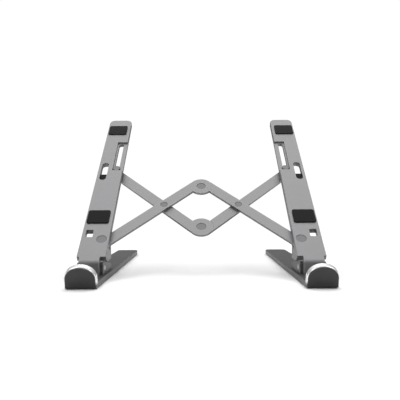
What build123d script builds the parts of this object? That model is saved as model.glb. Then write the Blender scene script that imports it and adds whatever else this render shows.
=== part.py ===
from build123d import *
import math
import os

# A folding laptop stand: two legs lie on the desk, a rail is hinged to each leg, and a
# flat scissor of four arms joins the rails.  +X is right, +Y is away from the user, +Z is up.
# The origin is on the desk, in the middle of the footprint.

# ---- driving dimensions, millimetres and degrees ----
STAND_WIDTH = 204.0           # over the two rails, opened
MEMBER_WIDTH = 24.0           # width of a rail and of a leg
TILT = 40.56                  # steepest rail angle, which is the rest pose
FOOT_PROUD = 0.5              # rubber feet stand this far below the leg
LEG_THICKNESS = 4.8
LEG_LENGTH = 241.5            # from the bottom edge of the front lip to the far end
CORNER_RADIUS = 5.5
EDGE_BREAK = 0.4

LIP_LEAN = 20.0               # the front lip leans towards the user
LIP_SIDE_HEIGHT = 8.0
LIP_CROWN_HEIGHT = 10.0
LIP_THICKNESS = 4.6
LIP_BEND_RADIUS = 3.0
LIP_CAP_THICKNESS = 1.0
LIP_CAP_MARGIN = 0.7
LIP_LINER_THICKNESS = 0.8
LIP_EDGE_BREAK = 0.5
LIP_LINER_START = 9.5         # up the lip, clear of its bend

RAIL_LENGTH = 209.6
RAIL_THICKNESS = 5.0
SHOULDER_Y = 35.1             # front end of the rail's upper face, measured from the lip
SHOULDER_Z = 20.5
NECK_INNER_STEP = 5.0         # the neck is narrower than the rail by these two steps
NECK_OUTER_STEP = 2.5
NECK_FRONT_Y = 30.7
NECK_THICKNESS = 5.0
NECK_BEND_RADIUS = 4.0
NECK_ROOT_S = 4.0             # the neck runs this far into the rail

PIVOT_Y = 45.0                # tilt axle
PIVOT_Z = 10.0
KNUCKLE_EYE_RADIUS = 4.6      # the rail's knuckle turns between two cheeks on the leg
KNUCKLE_END_S = 14.0          # the knuckle's web stops short of the arm pivot
CHEEK_THICKNESS = 2.4
CHEEK_FRONT_Y = 36.6
CHEEK_FRONT_HEIGHT = 15.4
CHEEK_TAIL_Y = 74.0
CHEEK_TAIL_HEIGHT = 10.4
CHEEK_CORNER = 2.0
HINGE_GAP = 0.5               # taken up by a friction washer beside each cheek
SIDE_WEB_THICKNESS = 2.4      # web under the rail's inner edge, beside the inner cheek
SIDE_WEB_TAIL_Y = 59.6        # its back edge stands upright here
SIDE_WEB_START_S = 2.5
SIDE_WEB_FRONT_SETBACK = 6.5
ARM_CLEARANCE = 0.5           # between the side web and the arm that passes over it
SIDE_GAP = 0.2
AXLE_RADIUS = 2.5
RUNNING = 0.05                # radial clearance of a turning fit
HEX_SOCKET_RADIUS = 1.5
HEX_SOCKET_DEPTH = 2.0

ARM_WIDTH = 10.5
ARM_THICKNESS = 2.4
TOP_WASHER = 0.3              # between the rail and the upper arm
MID_WASHER = 0.2              # between the upper and the lower arm
ARM_PIVOT_INSET = 6.4         # from the rail's inner edge to its arm pivots
FRONT_PIVOT_S = 20.0          # arm pivot, along the rail from its shoulder
ARM_LONG = 70.85              # arm pivot to crossing
ARM_OPEN_ANGLE = 45.2         # opened arm, from the X axis
BOSS_BEARING = 7.1            # the boss centre lies this far off the arm, seen from the crossing
LAP_GAP = 0.1
LAP_SIDE_GAP = 0.25
FOLDED_GAP = 1.0              # left between the two rails when the scissor is closed

RIVET_SHANK = 2.5
RIVET_HEAD = 4.6
RIVET_TAIL = 3.8
CROSS_HEAD = 3.6
RIVET_HEAD_THICKNESS = 0.6
PIVOT_HEAD_THICKNESS = 1.2
HEAD_SINK = 0.25              # every rivet head sits a little below the surface round it
WASHER_RADIUS = 5.0
SLIDE_PIN_RADIUS = 2.3
SLIDE_HEAD_RADIUS = 3.6
SLIDE_HEAD_THICKNESS = 1.1
SLIDE_CLEARANCE = 0.1
TRACK_DEPTH = 1.7             # the slide pin's head runs in this recess
TRACK_WIDTH = 10.4
TRACK_END_MARGIN = 0.5

HAND_SLOT_X = 6.1             # centre of the outer slots, from the rail's outer edge
LONG_SLOT_START = 101.0
LONG_SLOT_END = 128.6
LONG_SLOT_WIDTH = 6.7
SHORT_SLOT_START = 22.6
SHORT_SLOT_END = 31.5
SHORT_SLOT_WIDTH = 6.5
SHORT_SLOT_CORNER = 0.8
PLUG_LENGTH = 10.5            # rubber plug in the lower end of the long slot
PLUG_TOP = -1.6
PLUG_BOTTOM = -4.8

PAD_WIDTH = 19.7
PAD_LENGTH = 16.6
PAD_CORNER = 2.0
PAD_DEPTH = 0.8
PAD_PROUD = 1.0
PAD_EDGE_BREAK = 0.3
PAD_INNER_MARGIN = 3.1        # from the rail's inner edge
FRONT_PAD_S = 47.6
REAR_PAD_S = 188.3

FOOT_WIDTH = 18.0
FOOT_LENGTH = 26.0
FOOT_DEPTH = 0.9
FRONT_FOOT_Y = 22.0
REAR_FOOT_Y = 222.0

# ---- values worked out from them ----
OUTER_X = STAND_WIDTH / 2
INNER_X = OUTER_X - MEMBER_WIDTH
MID_X = (OUTER_X + INNER_X) / 2
LEG_TOP = FOOT_PROUD + LEG_THICKNESS
SIN_TILT = math.sin(math.radians(TILT))
COS_TILT = math.cos(math.radians(TILT))
SIN_LEAN = math.sin(math.radians(LIP_LEAN))
COS_LEAN = math.cos(math.radians(LIP_LEAN))

PIVOT_X = INNER_X + ARM_PIVOT_INSET
CROSS_X = PIVOT_X - ARM_LONG * math.cos(math.radians(ARM_OPEN_ANGLE))
CROSS_S = FRONT_PIVOT_S + ARM_LONG * math.sin(math.radians(ARM_OPEN_ANGLE))
CENTRE_RISE = CROSS_X * math.tan(math.radians(ARM_OPEN_ANGLE - BOSS_BEARING))
REAR_CENTRE_S = CROSS_S + CENTRE_RISE
FRONT_CENTRE_S = CROSS_S - CENTRE_RISE
REAR_PIVOT_S = 2 * CROSS_S - FRONT_PIVOT_S
ARM_SHORT = math.hypot(CROSS_X, CENTRE_RISE)
BOSS_OFFSET = ARM_SHORT * math.sin(math.radians(BOSS_BEARING))
CENTRE_BOSS_RADIUS = BOSS_OFFSET + ARM_WIDTH / 2
ARM_RUN = ARM_LONG + ARM_SHORT * math.cos(math.radians(BOSS_BEARING))
ARM_REACH = math.hypot(PIVOT_X, REAR_CENTRE_S - FRONT_PIVOT_S)
OPEN_BEARING = math.degrees(math.acos(PIVOT_X / ARM_REACH))
CLOSED_BEARING = math.degrees(math.acos((ARM_PIVOT_INSET + FOLDED_GAP / 2) / ARM_REACH))
FOLD_ANGLE = CLOSED_BEARING - OPEN_BEARING
CLOSED_SPAN = 2 * ARM_LONG * math.sin(math.radians(ARM_OPEN_ANGLE + FOLD_ANGLE))
CLOSED_PIVOT_S = FRONT_PIVOT_S + CLOSED_SPAN

UPPER_TOP = -RAIL_THICKNESS - TOP_WASHER
UPPER_BOTTOM = UPPER_TOP - ARM_THICKNESS
LOWER_TOP = UPPER_BOTTOM - MID_WASHER
LOWER_BOTTOM = LOWER_TOP - ARM_THICKNESS

# The lip's cap is the stand's front-most point, just where its crown starts to turn in.
LIP_HEIGHT = LIP_SIDE_HEIGHT + LIP_CROWN_HEIGHT
CAP_TOP = LIP_HEIGHT - LIP_CAP_MARGIN
FRONT_Y = -CAP_TOP * SIN_LEAN - LIP_CAP_THICKNESS * COS_LEAN
ORIGIN_Y = (FRONT_Y + LEG_LENGTH) / 2


def rail_s(y, z):
    """Distance along the rail of a point given in the side view."""
    return (y - SHOULDER_Y) * COS_TILT + (z - SHOULDER_Z) * SIN_TILT


def rail_n(y, z):
    """Height above the rail's upper face of a point given in the side view."""
    return (z - SHOULDER_Z) * COS_TILT - (y - SHOULDER_Y) * SIN_TILT


PIVOT_S = rail_s(PIVOT_Y, PIVOT_Z)
PIVOT_N = rail_n(PIVOT_Y, PIVOT_Z)
SIDE_WEB_FLOOR_N = PIVOT_N - KNUCKLE_EYE_RADIUS
INNER_CHEEK_X = INNER_X + SIDE_WEB_THICKNESS + SIDE_GAP
KNUCKLE_INNER_X = INNER_CHEEK_X + CHEEK_THICKNESS + HINGE_GAP
OUTER_CHEEK_X = OUTER_X - CHEEK_THICKNESS
KNUCKLE_OUTER_X = OUTER_CHEEK_X - HINGE_GAP

# Shapes are drawn in one of three frames, then moved into place.
DESK = Location((0, -ORIGIN_Y, 0))
RAIL = DESK * Plane(
    origin=(0, SHOULDER_Y, SHOULDER_Z), x_dir=(1, 0, 0), z_dir=(0, -SIN_TILT, COS_TILT)
).location
LIP = DESK * Plane(
    origin=(0, 0, FOOT_PROUD), x_dir=(1, 0, 0), z_dir=(0, -COS_LEAN, -SIN_LEAN)
).location


def block(x0, x1, y0, y1, z0, z1):
    size = Box(x1 - x0, y1 - y0, z1 - z0)
    return Pos((x0 + x1) / 2, (y0 + y1) / 2, (z0 + z1) / 2) * size


def disc(x, y, radius, z0, z1):
    return Pos(x, y, (z0 + z1) / 2) * Cylinder(radius, z1 - z0)


def ring(x, y, outer, inner, z0, z1):
    return disc(x, y, outer, z0, z1) - disc(x, y, inner, z0, z1)


def rounded_plate(x, y, width, length, corner, z0, z1):
    face = Pos(x, y, z0) * RectangleRounded(width, length, corner)
    return extrude(face, z1 - z0)


def side_profile(points, x0, x1):
    """Solid between x0 and x1 whose outline is given as (y, z) points."""
    face = make_face(Polyline(*[(x0, y, z) for y, z in points], close=True))
    return extrude(face, x1 - x0, dir=(1, 0, 0))


def cross_cylinder(x0, x1, y, z, radius):
    turned = Rot(0, 90, 0) * Cylinder(radius, x1 - x0)
    return Pos((x0 + x1) / 2, y, z) * turned


def link(start, end, z0, z1):
    """Flat bar with round ends between two pivots."""
    run = Vector(end[0] - start[0], end[1] - start[1], 0)
    angle = math.degrees(math.atan2(run.Y, run.X))
    middle = Pos((start[0] + end[0]) / 2, (start[1] + end[1]) / 2, (z0 + z1) / 2)
    bar = middle * Rot(0, 0, angle) * Box(run.length, ARM_WIDTH, z1 - z0)
    ends = disc(start[0], start[1], ARM_WIDTH / 2, z0, z1)
    return bar + ends + disc(end[0], end[1], ARM_WIDTH / 2, z0, z1)


def rivet(x, s, top, bottom, head, head_thickness, slack=0.0):
    """Rivet with two flat heads."""
    head_top = top - HEAD_SINK
    shank = disc(x, s, RIVET_SHANK + slack, bottom, head_top)
    upper = disc(x, s, head + 3 * slack, head_top - head_thickness - slack, head_top)
    tail = min(RIVET_TAIL, head) + 3 * slack
    return shank + upper + disc(x, s, tail, bottom, bottom + RIVET_HEAD_THICKNESS + slack)


def rivet_pocket(x, s, top, bottom, head, head_thickness, slack=0.0):
    """What a rivet takes out of the arms, swollen by slack where it has to turn."""
    body = rivet(x, s, top, bottom, head, head_thickness, slack)
    return body + disc(x, s, head + 3 * slack, top - HEAD_SINK, top)


def lip_outline(margin):
    """The D-shaped lip seen square on: flat foot, short sides and an elliptical crown."""
    half = MEMBER_WIDTH / 2 - margin
    # In the lip's frame +Z is its front, +X is right, and +Y runs up the lip.
    left = Line((-half, margin), (-half, LIP_SIDE_HEIGHT))
    foot = Line((-half, margin), (half, margin))
    right = Line((half, margin), (half, LIP_SIDE_HEIGHT))
    crown = EllipticalCenterArc(
        (0, LIP_SIDE_HEIGHT), half, LIP_CROWN_HEIGHT - margin, start_angle=0, arc_size=180
    )
    return make_face([left, foot, right, crown])


def lip_plate(margin, z0, z1):
    face = Pos(-MID_X, 0, z0) * lip_outline(margin)
    return extrude(face, z1 - z0, dir=(0, 0, 1))


# ---- the left side; the right side is its mirror image ----
def make_leg():
    slab = rounded_plate(
        -MID_X, LEG_LENGTH / 2, MEMBER_WIDTH, LEG_LENGTH, CORNER_RADIUS, FOOT_PROUD, LEG_TOP
    )
    slab += block(-OUTER_X, -INNER_X, 0, 2 * CORNER_RADIUS, FOOT_PROUD, LEG_TOP)
    far_edges = slab.faces().sort_by(Axis.Z)[-1].edges().sort_by(Axis.Y)[1:]
    slab = chamfer(far_edges, EDGE_BREAK)
    leg = DESK * slab
    lip = lip_plate(0, -LIP_THICKNESS, 0)
    rim = lip.faces().sort_by(Axis.Z)[-1].edges().sort_by(Axis.Y)[1:]
    leg += LIP * chamfer(rim, LIP_EDGE_BREAK)
    corner = leg.edges().filter_by(Axis.X).filter_by(
        lambda edge: abs(edge.center().Z - LEG_TOP) < 0.01 and edge.center().Y + ORIGIN_Y < 10
    )
    leg = fillet(corner, LIP_BEND_RADIUS)
    cheek_outline = [
        (CHEEK_FRONT_Y, FOOT_PROUD + 1),
        (CHEEK_FRONT_Y, CHEEK_FRONT_HEIGHT),
        (CHEEK_TAIL_Y, CHEEK_TAIL_HEIGHT),
        (CHEEK_TAIL_Y, FOOT_PROUD + 1),
    ]
    for near, far in ((-INNER_CHEEK_X - CHEEK_THICKNESS, -INNER_CHEEK_X), (-OUTER_X, -OUTER_CHEEK_X)):
        cheek = side_profile(cheek_outline, near, far)
        top_corners = cheek.edges().filter_by(Axis.X).sort_by(Axis.Z)[-2:]
        leg += DESK * fillet(top_corners, CHEEK_CORNER)
    leg -= DESK * cross_cylinder(-OUTER_X, -INNER_CHEEK_X, PIVOT_Y, PIVOT_Z, AXLE_RADIUS)
    for foot_y in (FRONT_FOOT_Y, REAR_FOOT_Y):
        leg -= DESK * rounded_plate(
            -MID_X, foot_y, FOOT_WIDTH, FOOT_LENGTH, PAD_CORNER, 0, FOOT_DEPTH
        )
    return leg


def make_foot(foot_y):
    foot = rounded_plate(-MID_X, foot_y, FOOT_WIDTH, FOOT_LENGTH, PAD_CORNER, 0, FOOT_DEPTH)
    foot = chamfer(foot.faces().sort_by(Axis.Z)[0].edges(), PAD_EDGE_BREAK)
    return DESK * foot


def make_rail():
    slab = rounded_plate(
        -MID_X, RAIL_LENGTH / 2, MEMBER_WIDTH, RAIL_LENGTH, CORNER_RADIUS, -RAIL_THICKNESS, 0
    )
    slab += block(-OUTER_X, -INNER_X, 0, 2 * CORNER_RADIUS, -RAIL_THICKNESS, 0)
    upper_edges = slab.faces().sort_by(Axis.Z)[-1].edges().sort_by(Axis.Y)[1:]
    slab = chamfer(upper_edges, EDGE_BREAK)

    # Side web under the inner edge.  It passes under the upper arm.
    under_arm = UPPER_BOTTOM - ARM_CLEARANCE
    tail_rise = (SIDE_WEB_TAIL_Y - SHOULDER_Y) * SIN_TILT / COS_TILT + SHOULDER_Z
    web_front = (SHOULDER_Y + SIDE_WEB_FRONT_SETBACK, CHEEK_FRONT_HEIGHT + SIDE_GAP)
    slab += side_profile(
        [
            (SIDE_WEB_START_S, -RAIL_THICKNESS / 2),
            (KNUCKLE_END_S, -RAIL_THICKNESS / 2),
            (KNUCKLE_END_S, under_arm),
            (rail_s(SIDE_WEB_TAIL_Y, tail_rise + under_arm / COS_TILT), under_arm),
            (
                rail_s(SIDE_WEB_TAIL_Y, tail_rise + SIDE_WEB_FLOOR_N / COS_TILT),
                SIDE_WEB_FLOOR_N,
            ),
            (rail_s(*web_front), rail_n(*web_front)),
        ],
        -INNER_X - SIDE_WEB_THICKNESS,
        -INNER_X,
    )

    # Recessed track and slot for the slide pin.
    track_start = REAR_PIVOT_S - SLIDE_HEAD_RADIUS - TRACK_END_MARGIN
    track_end = CLOSED_PIVOT_S + SLIDE_HEAD_RADIUS + TRACK_END_MARGIN
    slab -= block(-INNER_X - TRACK_WIDTH, -INNER_X, track_start, track_end, -TRACK_DEPTH, 0)
    slot_half = SLIDE_PIN_RADIUS + SLIDE_CLEARANCE
    slab -= block(
        -PIVOT_X - slot_half, -PIVOT_X + slot_half, REAR_PIVOT_S, CLOSED_PIVOT_S,
        -RAIL_THICKNESS, 0,
    )
    slab -= disc(-PIVOT_X, REAR_PIVOT_S, slot_half, -RAIL_THICKNESS, 0)
    slab -= disc(-PIVOT_X, CLOSED_PIVOT_S, slot_half, -RAIL_THICKNESS, 0)

    # Outer slots, pad pockets and the arm pivot's hole.
    slot_x = -OUTER_X + HAND_SLOT_X
    slab -= rounded_plate(
        slot_x, (LONG_SLOT_START + LONG_SLOT_END) / 2, LONG_SLOT_WIDTH,
        LONG_SLOT_END - LONG_SLOT_START, LONG_SLOT_WIDTH / 2 - 0.01, -RAIL_THICKNESS, 0,
    )
    slab -= rounded_plate(
        slot_x, (SHORT_SLOT_START + SHORT_SLOT_END) / 2, SHORT_SLOT_WIDTH,
        SHORT_SLOT_END - SHORT_SLOT_START, SHORT_SLOT_CORNER, -RAIL_THICKNESS, 0,
    )
    for pad_s in (FRONT_PAD_S, REAR_PAD_S):
        slab -= make_pad_blank(pad_s, -PAD_DEPTH, 0)
    slab -= disc(-PIVOT_X, FRONT_PIVOT_S, RIVET_SHANK, -RAIL_THICKNESS, 0)
    slab -= disc(-PIVOT_X, FRONT_PIVOT_S, RIVET_HEAD, -PIVOT_HEAD_THICKNESS - HEAD_SINK, 0)
    rail = RAIL * slab

    # Neck: the rail's front end turns down and stops against the leg.
    top_at_neck = SHOULDER_Z + (NECK_FRONT_Y - SHOULDER_Y) * SIN_TILT / COS_TILT
    neck_back_y = NECK_FRONT_Y + NECK_THICKNESS
    under_z = top_at_neck + NECK_THICKNESS * SIN_TILT / COS_TILT - RAIL_THICKNESS / COS_TILT
    anchor_y = SHOULDER_Y + NECK_ROOT_S * COS_TILT
    anchor_z = SHOULDER_Z + NECK_ROOT_S * SIN_TILT
    stop_z = LEG_TOP + RUNNING
    neck = side_profile(
        [
            (NECK_FRONT_Y, stop_z),
            (NECK_FRONT_Y, top_at_neck),
            (anchor_y, anchor_z),
            (anchor_y + RAIL_THICKNESS * SIN_TILT, anchor_z - RAIL_THICKNESS * COS_TILT),
            (neck_back_y, under_z),
            (neck_back_y, stop_z),
        ],
        -OUTER_X + NECK_OUTER_STEP,
        -INNER_X - NECK_INNER_STEP,
    )
    bend = neck.edges().filter_by(Axis.X).filter_by(
        lambda edge: abs(edge.center().Y - NECK_FRONT_Y) < 0.01
        and abs(edge.center().Z - top_at_neck) < 0.01
    )
    rail += DESK * fillet(bend, NECK_BEND_RADIUS)

    # Knuckle: fills the corner behind the neck and carries the axle.
    web_end_y = SHOULDER_Y + KNUCKLE_END_S * COS_TILT
    web_end_z = SHOULDER_Z + KNUCKLE_END_S * SIN_TILT
    drop_y = RAIL_THICKNESS * SIN_TILT
    drop_z = RAIL_THICKNESS * COS_TILT
    knuckle = side_profile(
        [
            (neck_back_y - 1, PIVOT_Z - KNUCKLE_EYE_RADIUS + 1),
            (neck_back_y - 1, under_z),
            (web_end_y + 0.8 * drop_y, web_end_z - 0.8 * drop_z),
            (web_end_y + 1.4 * drop_y, web_end_z - 1.4 * drop_z),
            (PIVOT_Y + KNUCKLE_EYE_RADIUS, PIVOT_Z),
            (PIVOT_Y, PIVOT_Z - KNUCKLE_EYE_RADIUS),
        ],
        -KNUCKLE_OUTER_X,
        -KNUCKLE_INNER_X,
    )
    knuckle += cross_cylinder(
        -KNUCKLE_OUTER_X, -KNUCKLE_INNER_X, PIVOT_Y, PIVOT_Z, KNUCKLE_EYE_RADIUS
    )
    knuckle -= cross_cylinder(-OUTER_X, -INNER_X, PIVOT_Y, PIVOT_Z, AXLE_RADIUS + RUNNING)
    return rail + DESK * knuckle


def make_pad_blank(pad_s, z0, z1):
    x = -INNER_X - PAD_INNER_MARGIN - PAD_WIDTH / 2
    return rounded_plate(x, pad_s, PAD_WIDTH, PAD_LENGTH, PAD_CORNER, z0, z1)


def make_pad(pad_s):
    pad = make_pad_blank(pad_s, -PAD_DEPTH, PAD_PROUD)
    pad = fillet(pad.faces().sort_by(Axis.Z)[-1].edges(), PAD_EDGE_BREAK)
    return RAIL * pad


def make_slot_plug():
    slot_x = -OUTER_X + HAND_SLOT_X
    plug = rounded_plate(
        slot_x, (LONG_SLOT_START + LONG_SLOT_END) / 2, LONG_SLOT_WIDTH,
        LONG_SLOT_END - LONG_SLOT_START, LONG_SLOT_WIDTH / 2 - 0.01, PLUG_BOTTOM, PLUG_TOP,
    )
    plug &= block(
        slot_x - LONG_SLOT_WIDTH, slot_x + LONG_SLOT_WIDTH,
        LONG_SLOT_START, LONG_SLOT_START + PLUG_LENGTH, PLUG_BOTTOM, PLUG_TOP,
    )
    return RAIL * plug


def make_axle():
    pin = cross_cylinder(-OUTER_X, -INNER_CHEEK_X, PIVOT_Y, PIVOT_Z, AXLE_RADIUS)
    pin = chamfer(pin.edges(), EDGE_BREAK)
    socket = extrude(Plane.YZ * RegularPolygon(HEX_SOCKET_RADIUS, 6), HEX_SOCKET_DEPTH)
    pin -= Pos(-OUTER_X, PIVOT_Y, PIVOT_Z) * socket
    return DESK * pin


def make_hinge_washer(x0, x1):
    washer = cross_cylinder(x0, x1, PIVOT_Y, PIVOT_Z, KNUCKLE_EYE_RADIUS)
    return DESK * (washer - cross_cylinder(x0, x1, PIVOT_Y, PIVOT_Z, AXLE_RADIUS + RUNNING))


def lap_cut(centre_s, top, bottom, keep_upper):
    """Clears room for the other arm's half of a centre boss."""
    middle = (top + bottom) / 2
    radius = CENTRE_BOSS_RADIUS + LAP_SIDE_GAP
    if keep_upper:
        return disc(0, centre_s, radius, bottom - 1, middle + LAP_GAP / 2)
    return disc(0, centre_s, radius, middle - LAP_GAP / 2, top + 1)


def make_arm(pivot_s, centre_s, top, bottom, keep_upper):
    """Straight arm whose outer edge runs on as a tangent of its round centre boss."""
    slope = math.copysign(ARM_OPEN_ANGLE, CROSS_S - pivot_s)
    end_x = -PIVOT_X + ARM_RUN * math.cos(math.radians(slope))
    end_s = pivot_s + ARM_RUN * math.sin(math.radians(slope))
    arm = link((-PIVOT_X, pivot_s), (end_x, end_s), bottom, top)
    arm += disc(0, centre_s, CENTRE_BOSS_RADIUS, bottom, top)
    return arm - lap_cut(centre_s, top, bottom, keep_upper)


CROSS_RIVET = (-CROSS_X, CROSS_S, UPPER_TOP, LOWER_BOTTOM, CROSS_HEAD, RIVET_HEAD_THICKNESS)
PIVOT_RIVET = (-PIVOT_X, FRONT_PIVOT_S, 0, UPPER_BOTTOM, RIVET_HEAD, PIVOT_HEAD_THICKNESS)
REAR_RIVET = (0, REAR_CENTRE_S, UPPER_TOP, UPPER_BOTTOM, RIVET_HEAD, RIVET_HEAD_THICKNESS)
FRONT_RIVET = (0, FRONT_CENTRE_S, LOWER_TOP, LOWER_BOTTOM, RIVET_HEAD, RIVET_HEAD_THICKNESS)


def slide_pin():
    head_bottom = -TRACK_DEPTH + SLIDE_CLEARANCE
    head_top = head_bottom + SLIDE_HEAD_THICKNESS
    pin = disc(-PIVOT_X, REAR_PIVOT_S, SLIDE_HEAD_RADIUS, head_bottom, head_top)
    pin = fillet(pin.edges().sort_by(Axis.Z)[-1], 0.3)
    pin += disc(-PIVOT_X, REAR_PIVOT_S, SLIDE_PIN_RADIUS, LOWER_BOTTOM, head_bottom)
    tail_top = LOWER_BOTTOM + RIVET_HEAD_THICKNESS
    return pin + disc(-PIVOT_X, REAR_PIVOT_S, SLIDE_HEAD_RADIUS, LOWER_BOTTOM, tail_top)


def make_upper_arm(keep_upper, holds_rivet):
    arm = make_arm(FRONT_PIVOT_S, REAR_CENTRE_S, UPPER_TOP, UPPER_BOTTOM, keep_upper)
    slack = 0.0 if holds_rivet else RUNNING
    arm -= rivet_pocket(*PIVOT_RIVET, RUNNING)
    arm -= rivet_pocket(*CROSS_RIVET)
    return RAIL * (arm - rivet_pocket(*REAR_RIVET, slack))


def make_lower_arm(keep_upper, holds_rivet):
    arm = make_arm(REAR_PIVOT_S, FRONT_CENTRE_S, LOWER_TOP, LOWER_BOTTOM, keep_upper)
    slack = 0.0 if holds_rivet else RUNNING
    arm -= rivet_pocket(*CROSS_RIVET, RUNNING)
    arm -= slide_pin()
    return RAIL * (arm - rivet_pocket(*FRONT_RIVET, slack))


def make_flat_washer(x, s, outer, inner, z0, z1):
    return RAIL * ring(x, s, outer, inner, z0, z1)


def side_pieces(keep_upper):
    """Every piece of the left side.  keep_upper says which half of the centre laps it has."""
    outer_washer = make_hinge_washer(-OUTER_CHEEK_X, -KNUCKLE_OUTER_X)
    inner_washer = make_hinge_washer(-KNUCKLE_INNER_X, -KNUCKLE_INNER_X + HINGE_GAP)
    washers = Compound(children=[outer_washer, inner_washer])
    feet = Compound(children=[make_foot(FRONT_FOOT_Y), make_foot(REAR_FOOT_Y)])
    cap = LIP * lip_plate(LIP_CAP_MARGIN, 0, LIP_CAP_THICKNESS)
    liner_back = -LIP_THICKNESS - LIP_LINER_THICKNESS
    liner = lip_plate(LIP_CAP_MARGIN, liner_back, -LIP_THICKNESS)
    liner &= block(-OUTER_X, -INNER_X, LIP_LINER_START, LIP_HEIGHT, liner_back, -LIP_THICKNESS)
    return {
        "leg": make_leg(),
        "leg_feet": feet,
        "lip_cap": cap,
        "lip_liner": LIP * liner,
        "rail": make_rail(),
        "front_pad": make_pad(FRONT_PAD_S),
        "rear_pad": make_pad(REAR_PAD_S),
        "slot_plug": make_slot_plug(),
        "hinge_axle": make_axle(),
        "hinge_washers": washers,
        "upper_arm": make_upper_arm(keep_upper, keep_upper),
        "lower_arm": make_lower_arm(keep_upper, keep_upper),
        "pivot_rivet": RAIL * rivet(*PIVOT_RIVET),
        "cross_rivet": RAIL * rivet(*CROSS_RIVET),
        "slide_pin": RAIL * slide_pin(),
        "pivot_washer": make_flat_washer(
            -PIVOT_X, FRONT_PIVOT_S, WASHER_RADIUS, RIVET_SHANK + RUNNING, UPPER_TOP, -RAIL_THICKNESS
        ),
        "cross_washer": make_flat_washer(
            -CROSS_X, CROSS_S, WASHER_RADIUS, RIVET_SHANK + RUNNING, LOWER_TOP, UPPER_BOTTOM
        ),
        "slide_spacer": make_flat_washer(
            -PIVOT_X, REAR_PIVOT_S, RIVET_HEAD, SLIDE_PIN_RADIUS,
            LOWER_TOP, -RAIL_THICKNESS - SLIDE_CLEARANCE,
        ),
    }


os.makedirs("parts", exist_ok=True)
for name, piece in side_pieces(True).items():
    export_step(piece, f"parts/left_{name}.step")
for name, piece in side_pieces(False).items():
    export_step(mirror(piece, about=Plane.YZ), f"parts/right_{name}.step")
export_step(RAIL * rivet(*REAR_RIVET), "parts/rear_centre_rivet.step")
export_step(RAIL * rivet(*FRONT_RIVET), "parts/front_centre_rivet.step")
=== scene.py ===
import math

import bmesh
import bpy
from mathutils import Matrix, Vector


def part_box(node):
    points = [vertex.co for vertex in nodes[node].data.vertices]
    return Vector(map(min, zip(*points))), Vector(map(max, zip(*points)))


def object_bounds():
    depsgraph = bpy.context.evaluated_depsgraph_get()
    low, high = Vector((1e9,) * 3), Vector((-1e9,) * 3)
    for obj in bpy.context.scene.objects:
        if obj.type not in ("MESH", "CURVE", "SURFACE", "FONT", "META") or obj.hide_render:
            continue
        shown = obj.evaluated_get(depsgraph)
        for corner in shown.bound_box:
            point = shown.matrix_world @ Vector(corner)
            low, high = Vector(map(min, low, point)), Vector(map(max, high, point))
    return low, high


# A folding aluminium laptop stand on a pale floor.  Metres throughout.
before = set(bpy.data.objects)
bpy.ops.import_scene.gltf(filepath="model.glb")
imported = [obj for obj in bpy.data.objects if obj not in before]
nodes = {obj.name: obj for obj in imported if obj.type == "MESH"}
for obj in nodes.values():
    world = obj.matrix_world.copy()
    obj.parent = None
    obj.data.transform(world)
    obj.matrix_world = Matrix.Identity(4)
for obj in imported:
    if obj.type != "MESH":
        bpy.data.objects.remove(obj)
cad_low, cad_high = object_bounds()
SIDES = ("left", "right")
MM = 0.001

# ---- camera and light, in metres, radians and watts ----
CAMERA_BACK = 0.3655          # from the front of the stand to the lens
CAMERA_HEIGHT = 0.0662
CAMERA_LENS = 45.0
CAMERA_YAW = math.radians(0.137)
CAMERA_ROLL = math.radians(0.27)

# ---- metal, rubber and floor ----
ANODISED = (0.20, 0.20, 0.204, 1.0)
ANODISED_DARK = (0.172, 0.172, 0.175, 1.0)
ANODISED_EDGE = (0.46, 0.46, 0.47, 1.0)
# painted shade: the leg's aluminium is toned far darker than the rail's, standing in for the
# dark reflection on its top faces
LEG_PAINTED_SHADE_TONE = (0.088, 0.088, 0.090, 1.0)
LEG_PAINTED_SHADE_DARK = (0.070, 0.070, 0.072, 1.0)
POLISHED = (0.86, 0.86, 0.87, 1.0)
RUBBER = (0.004, 0.004, 0.0043, 1.0)
RUBBER_WORN = (0.008, 0.008, 0.0084, 1.0)
RIVET = (0.135, 0.135, 0.138, 1.0)
RIVET_DARK = (0.110, 0.110, 0.113, 1.0)
# painted shadow: near-black colour for the gap round each rivet head
RIVET_GAP_SHADOW = (0.030, 0.030, 0.031, 1.0)
RIVET_GAP_SHADOW_WIDTH = 0.6 * MM         # width of the painted shadow line in the gap where a rivet head meets its hole
RING_PITCH = 0.35 * MM        # turning marks on a rivet head
CLOUD_SCALE = 28.0
GRAIN_SCALE = 5200.0
EDGE_WEAR_RADIUS = 0.5 * MM
PEBBLE_SCALE = 1900.0         # skin of the rubber
STEEL = (0.48, 0.48, 0.49, 1.0)
STEEL_DARK = (0.36, 0.36, 0.37, 1.0)
NYLON = (0.045, 0.045, 0.047, 1.0)
NYLON_DARK = (0.03, 0.03, 0.032, 1.0)
FLOOR = (0.93, 0.93, 0.93, 1.0)
FLOOR_PALE = (0.95, 0.95, 0.95, 1.0)
WHITE = (1.02, 1.02, 1.02, 1.0)         # the backdrop as the camera sees it
HORIZON = (0.14, 0.14, 0.14, 1.0)       # the sky that lights the metal, low down and overhead
ZENITH = (1.05, 1.05, 1.05, 1.0)
SKY_LOW = 0.10                # the sky brightens between these two heights
SKY_HIGH = 0.85
OVERHEAD_AT = (0.0, 0.15, 1.3)
OVERHEAD_AIM = (0.0, 0.05, 0.0)
OVERHEAD_POWER = 9.0
FRONT_LEFT_AT = (-1.1, -1.0, 0.9)
FRONT_RIGHT_AT = (1.1, -0.9, 0.8)
SIDE_AIM = (0.0, 0.0, 0.05)
SIDE_SIZE = 0.9
SIDE_POWER = 3.5
FLOOR_NEAR = 0.35             # the floor fades into the white backdrop between these two radii
FLOOR_FAR = 0.75
FLOOR_HALF = 6.0              # half the side of the floor
FLOOR_DROP = 0.0001           # the floor lies just under the feet

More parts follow.
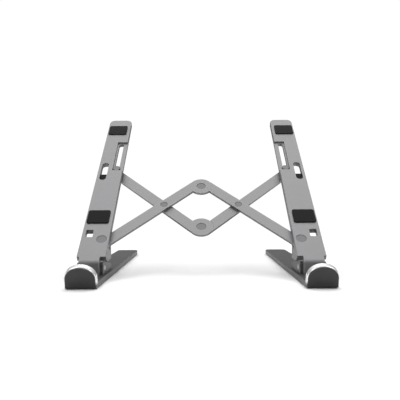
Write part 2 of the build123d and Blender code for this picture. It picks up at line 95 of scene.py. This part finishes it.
LIP_LEAN = math.radians(20.0)
RAIL_TILT = math.radians(40.56)
LIP_DEPTH = 4.7 * MM          # metal of the lip, front to back
LIP_FOOT = 3.0 * MM           # the polish starts this far above the desk
LIP_SETBACK = 6.857 * MM      # from the front of the stand to the foot of the lip


def new_material(name):
    """A node material with its Principled shader, its node tree and an object-space vector."""
    material = bpy.data.materials.new(name)
    material.use_nodes = True
    tree = material.node_tree
    shader = tree.nodes["Principled BSDF"]
    place = tree.nodes.new("ShaderNodeTexCoord").outputs["Object"]
    return material, shader, tree, place


def noise(tree, place, scale, detail=3.0, roughness=0.55):
    node = tree.nodes.new("ShaderNodeTexNoise")
    node.inputs["Scale"].default_value = scale
    node.inputs["Detail"].default_value = detail
    node.inputs["Roughness"].default_value = roughness
    tree.links.new(place, node.inputs["Vector"])
    return node.outputs["Fac"]


def spread(tree, value, low, high, new_low=0.0, new_high=1.0):
    node = tree.nodes.new("ShaderNodeMapRange")
    node.inputs["From Min"].default_value = low
    node.inputs["From Max"].default_value = high
    node.inputs["To Min"].default_value = new_low
    node.inputs["To Max"].default_value = new_high
    tree.links.new(value, node.inputs["Value"])
    return node.outputs["Result"]


def mix_colour(tree, amount, first, second):
    """first and second are colours, or sockets that give one."""
    node = tree.nodes.new("ShaderNodeMix")
    node.data_type = "RGBA"
    tree.links.new(amount, node.inputs[0])
    for socket, value in ((node.inputs[6], first), (node.inputs[7], second)):
        if isinstance(value, tuple):
            socket.default_value = value
        else:
            tree.links.new(value, socket)
    return node.outputs[2]


def maths(tree, operation, first, second=None):
    node = tree.nodes.new("ShaderNodeMath")
    node.operation = operation
    for socket, value in ((node.inputs[0], first), (node.inputs[1], second)):
        if value is None:
            continue
        if isinstance(value, (int, float)):
            socket.default_value = value
        else:
            tree.links.new(value, socket)
    return node.outputs[0]


def bump(tree, shader, height, distance, strength=1.0):
    node = tree.nodes.new("ShaderNodeBump")
    node.inputs["Distance"].default_value = distance
    node.inputs["Strength"].default_value = strength
    tree.links.new(height, node.inputs["Height"])
    tree.links.new(node.outputs["Normal"], shader.inputs["Normal"])


def edge_mask(tree, radius):
    """1 along sharp edges, 0 on open faces."""
    bevel = tree.nodes.new("ShaderNodeBevel")
    bevel.samples = 6
    bevel.inputs["Radius"].default_value = radius
    flat = tree.nodes.new("ShaderNodeNewGeometry")
    dot = tree.nodes.new("ShaderNodeVectorMath")
    dot.operation = "DOT_PRODUCT"
    tree.links.new(bevel.outputs["Normal"], dot.inputs[0])
    tree.links.new(flat.outputs["Normal"], dot.inputs[1])
    return spread(tree, dot.outputs["Value"], 0.995, 0.80)


def anodised(name, tone=ANODISED, dark=ANODISED_DARK, lip=False):
    """Bead-blasted, grey-anodised aluminium: fine grain, soft cloudiness and paler edges."""
    material, shader, tree, place = new_material(name)
    cloud = spread(tree, noise(tree, place, CLOUD_SCALE, 4.0), 0.35, 0.65)
    grain = noise(tree, place, GRAIN_SCALE, 2.0)
    colour = mix_colour(tree, cloud, dark, tone)
    speckle = spread(tree, grain, 0.3, 0.7)
    colour = mix_colour(tree, maths(tree, "MULTIPLY", speckle, 0.10), colour, ANODISED_EDGE)
    patchy = spread(tree, grain, 0.2, 0.6, 0.4, 0.8)
    wear = maths(tree, "MULTIPLY", edge_mask(tree, EDGE_WEAR_RADIUS), patchy)
    colour = mix_colour(tree, wear, colour, ANODISED_EDGE)
    rough = spread(tree, cloud, 0.0, 1.0, 0.42, 0.50)
    if lip:
        shine = lip_mask(tree, place)
        colour = mix_colour(tree, shine, colour, POLISHED)
        rough = maths(tree, "SUBTRACT", rough, maths(tree, "MULTIPLY", shine, 0.22))
    tree.links.new(colour, shader.inputs["Base Color"])
    tree.links.new(rough, shader.inputs["Roughness"])
    shader.inputs["Metallic"].default_value = 0.75
    bump(tree, shader, grain, 0.02 * MM, 0.5)
    return material


def lip_mask(tree, place):
    """1 on the bright-cut edge of the front lip, 0 on the rest of the leg."""
    split = tree.nodes.new("ShaderNodeSeparateXYZ")
    tree.links.new(place, split.inputs[0])
    front = cad_low.y + LIP_SETBACK
    behind = maths(tree, "SUBTRACT", split.outputs["Y"], front)
    along = maths(tree, "MULTIPLY", behind, math.cos(LIP_LEAN))
    up = maths(tree, "MULTIPLY", split.outputs["Z"], math.sin(LIP_LEAN))
    depth = maths(tree, "ADD", along, up)
    in_front = spread(tree, depth, LIP_DEPTH, LIP_DEPTH - 0.2 * MM)
    above = spread(tree, split.outputs["Z"], LIP_FOOT, LIP_FOOT + 3.0 * MM)
    return maths(tree, "MULTIPLY", in_front, above)


def rivet_metal(name, node):
    """Turned aluminium: faint rings about the rivet's axis and a painted shadow line round its
    head.
    """
    material, shader, tree, place = new_material(name)
    low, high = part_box(node)
    middle = (Vector(low) + Vector(high)) / 2
    radius = (high[0] - low[0]) / 2
    offset = tree.nodes.new("ShaderNodeVectorMath")
    offset.operation = "SUBTRACT"
    offset.inputs[1].default_value = middle
    tree.links.new(place, offset.inputs[0])
    sideways = tree.nodes.new("ShaderNodeVectorMath")
    sideways.operation = "CROSS_PRODUCT"
    sideways.inputs[1].default_value = (0.0, -math.sin(RAIL_TILT), math.cos(RAIL_TILT))
    tree.links.new(offset.outputs["Vector"], sideways.inputs[0])
    gap = tree.nodes.new("ShaderNodeVectorMath")
    gap.operation = "LENGTH"
    tree.links.new(sideways.outputs["Vector"], gap.inputs[0])
    turns = maths(tree, "MULTIPLY", gap.outputs["Value"], 2 * math.pi / RING_PITCH)
    rings = maths(tree, "SINE", turns)
    tint = mix_colour(tree, spread(tree, rings, -1.0, 1.0), RIVET_DARK, RIVET)
    # painted shadow: the rim of each rivet head is darkened to stand in for the shade in the
    # gap round it
    gap_shadow = spread(tree, gap.outputs["Value"], radius - RIVET_GAP_SHADOW_WIDTH, radius)
    tree.links.new(mix_colour(tree, gap_shadow, tint, RIVET_GAP_SHADOW), shader.inputs["Base Color"])
    rough = spread(tree, noise(tree, place, 900.0), 0.3, 0.7, 0.34, 0.46)
    tree.links.new(rough, shader.inputs["Roughness"])
    shader.inputs["Metallic"].default_value = 0.8
    bump(tree, shader, rings, 0.012 * MM, 0.5)
    return material


def rubber(name, roughness, specular):
    """Moulded black silicone: a fine pebbled skin that is dusty in places."""
    material, shader, tree, place = new_material(name)
    dust = spread(tree, noise(tree, place, 140.0, 5.0, 0.65), 0.40, 0.75)
    tree.links.new(mix_colour(tree, dust, RUBBER, RUBBER_WORN), shader.inputs["Base Color"])
    cells = tree.nodes.new("ShaderNodeTexVoronoi")
    cells.inputs["Scale"].default_value = PEBBLE_SCALE
    tree.links.new(place, cells.inputs["Vector"])
    rough = spread(tree, dust, 0.0, 1.0, roughness, roughness + 0.1)
    tree.links.new(rough, shader.inputs["Roughness"])
    shader.inputs["Specular IOR Level"].default_value = specular
    bump(tree, shader, cells.outputs["Distance"], 0.05 * MM, 0.35)
    return material


def steel(name):
    material, shader, tree, place = new_material(name)
    streak = noise(tree, place, 1500.0, 4.0)
    tree.links.new(mix_colour(tree, streak, STEEL_DARK, STEEL), shader.inputs["Base Color"])
    tree.links.new(spread(tree, streak, 0.3, 0.7, 0.24, 0.36), shader.inputs["Roughness"])
    shader.inputs["Metallic"].default_value = 1.0
    return material


def nylon(name):
    material, shader, tree, place = new_material(name)
    mottle = noise(tree, place, 600.0, 3.0)
    tree.links.new(mix_colour(tree, mottle, NYLON_DARK, NYLON), shader.inputs["Base Color"])
    tree.links.new(spread(tree, mottle, 0.3, 0.7, 0.4, 0.5), shader.inputs["Roughness"])
    bump(tree, shader, mottle, 0.02 * MM, 0.3)
    return material


def paint(node, material):
    slots = nodes[node].data.materials
    slots.clear()
    slots.append(material)


def make_materials():
    plain = anodised("anodised_grey")
    # painted shade: the leg uses a darker copy of the rail's anodised finish, standing in for
    # its dark reflection
    leg = anodised("anodised_leg_painted_shade", LEG_PAINTED_SHADE_TONE, LEG_PAINTED_SHADE_DARK, lip=True)
    pad = rubber("rubber_pad", 0.55, 0.10)
    cap = rubber("rubber_cap", 0.34, 0.60)
    axle = steel("axle_steel")
    washer = nylon("washer_nylon")
    finish = {
        "leg": leg, "rail": plain, "upper_arm": plain, "lower_arm": plain,
        "leg_feet": pad, "lip_cap": cap, "lip_liner": cap, "front_pad": pad, "rear_pad": pad,
        "slot_plug": pad, "hinge_axle": axle, "hinge_washers": washer,
        "cross_washer": washer, "pivot_washer": washer, "slide_spacer": washer,
    }
    for side in SIDES:
        for part, material in finish.items():
            paint(f"{side}_{part}", material)
        for part in ("pivot_rivet", "cross_rivet", "slide_pin"):
            node = f"{side}_{part}"
            paint(node, rivet_metal(f"turned_{node}", node))
    for node in ("rear_centre_rivet", "front_centre_rivet"):
        paint(node, rivet_metal(f"turned_{node}", node))


def make_camera():
    data = bpy.data.cameras.new("camera")
    data.lens = CAMERA_LENS
    data.clip_start = 0.01
    data.clip_end = 20.0
    camera = bpy.data.objects.new("camera", data)
    bpy.context.collection.objects.link(camera)
    camera.location = (0.0, cad_low.y - CAMERA_BACK, CAMERA_HEIGHT)
    camera.rotation_euler = (math.radians(90.0), CAMERA_ROLL, CAMERA_YAW)
    bpy.context.scene.camera = camera


def area_light(name, place, target, width, height, power):
    data = bpy.data.lights.new(name, "AREA")
    data.shape = "RECTANGLE"
    data.size = width
    data.size_y = height
    data.energy = power
    light = bpy.data.objects.new(name, data)
    bpy.context.collection.objects.link(light)
    light.location = place
    light.rotation_euler = (Vector(target) - Vector(place)).to_track_quat("-Z", "Y").to_euler()


def make_lights():
    world = bpy.data.worlds.new("studio")
    bpy.context.scene.world = world
    world.use_nodes = True
    tree = world.node_tree
    background = tree.nodes["Background"]
    split = tree.nodes.new("ShaderNodeSeparateXYZ")
    tree.links.new(tree.nodes.new("ShaderNodeTexCoord").outputs["Generated"], split.inputs[0])
    height = spread(tree, split.outputs["Z"], SKY_LOW, SKY_HIGH)
    sky = mix_colour(tree, height, HORIZON, ZENITH)
    seen = tree.nodes.new("ShaderNodeLightPath").outputs["Is Camera Ray"]
    tree.links.new(mix_colour(tree, seen, sky, WHITE), background.inputs["Color"])
    background.inputs["Strength"].default_value = 1.0
    area_light("overhead", OVERHEAD_AT, OVERHEAD_AIM, 1.6, 1.4, OVERHEAD_POWER)
    area_light("front_left", FRONT_LEFT_AT, SIDE_AIM, SIDE_SIZE, SIDE_SIZE, SIDE_POWER)
    area_light("front_right", FRONT_RIGHT_AT, SIDE_AIM, SIDE_SIZE, SIDE_SIZE, SIDE_POWER)


def make_floor():
    mesh = bpy.data.meshes.new("floor")
    shape = bmesh.new()
    bmesh.ops.create_grid(shape, x_segments=8, y_segments=8, size=FLOOR_HALF)
    shape.to_mesh(mesh)
    shape.free()
    floor = bpy.data.objects.new("floor", mesh)
    bpy.context.collection.objects.link(floor)
    floor.location.z = cad_low.z - FLOOR_DROP
    material, shader, tree, place = new_material("floor_white")
    mottle = noise(tree, place, 3.0)
    tree.links.new(mix_colour(tree, mottle, FLOOR, FLOOR_PALE), shader.inputs["Base Color"])
    shader.inputs["Roughness"].default_value = 0.75
    shader.inputs["Specular IOR Level"].default_value = 0.2
    far = tree.nodes.new("ShaderNodeVectorMath")
    far.operation = "LENGTH"
    tree.links.new(place, far.inputs[0])
    fade = spread(tree, far.outputs["Value"], FLOOR_NEAR, FLOOR_FAR)
    glow = tree.nodes.new("ShaderNodeEmission")
    glow.inputs["Color"].default_value = WHITE
    blend = tree.nodes.new("ShaderNodeMixShader")
    tree.links.new(fade, blend.inputs[0])
    tree.links.new(shader.outputs[0], blend.inputs[1])
    tree.links.new(glow.outputs[0], blend.inputs[2])
    tree.links.new(blend.outputs[0], tree.nodes["Material Output"].inputs["Surface"])
    mesh.materials.append(material)


make_materials()
make_camera()
make_lights()
make_floor()
bpy.context.scene.view_settings.view_transform = "Standard"
